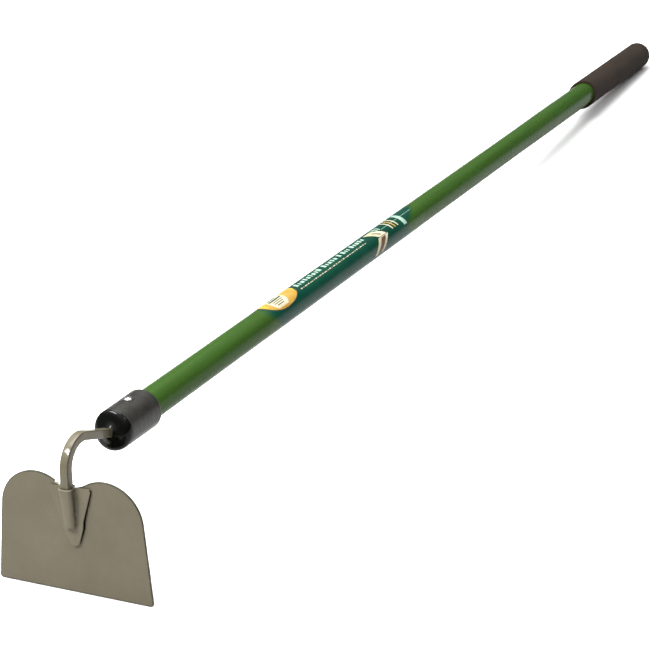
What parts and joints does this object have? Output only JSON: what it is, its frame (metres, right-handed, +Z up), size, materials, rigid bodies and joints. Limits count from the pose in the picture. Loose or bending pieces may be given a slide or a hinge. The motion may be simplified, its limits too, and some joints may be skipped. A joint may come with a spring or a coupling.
{
  "type": "grub hoe",
  "caption": "Grub hoe: heart-topped steel blade on a square gooseneck shank, black ferrule, long green fibreglass handle with dark foam grip.",
  "frame": {"origin": "on the floor under the middle of the tool's length and width, as the tool rests on its cutting edge and its grip", "axes": "+X along the tool from the blade towards the grip's closed end, +Z up from the floor, Y across the blade's width"},
  "size_m": [1.6099, 0.1534, 0.1365],
  "materials": {
    "fibreglass_green": "smooth glossy green gel coat",
    "foam_dark": "soft dark brown closed-cell foam",
    "plug_black": "moulded black plastic",
    "label_film": "printed dark teal film",
    "ferrule_satin": "satin black, finely textured",
    "nose_gloss": "polished black",
    "screw_zinc": "bright zinc plate",
    "shank_paint": "semi-gloss taupe paint",
    "blade_paint": "satin taupe paint",
    "patch_paint": "satin taupe paint",
    "weld_paint": "painted weld bead"
  },
  "bodies": {
    "root": {"handle_tube": "fibreglass_green", "grip": "foam_dark", "end_plug": "plug_black", "label": "label_film", "ferrule": "ferrule_satin", "tang_plug": "nose_gloss", "ferrule_screw": "screw_zinc", "shank": "shank_paint", "blade": "blade_paint", "shank_patch": "patch_paint", "neck_weld": "weld_paint"}
  },
  "joints": []
}
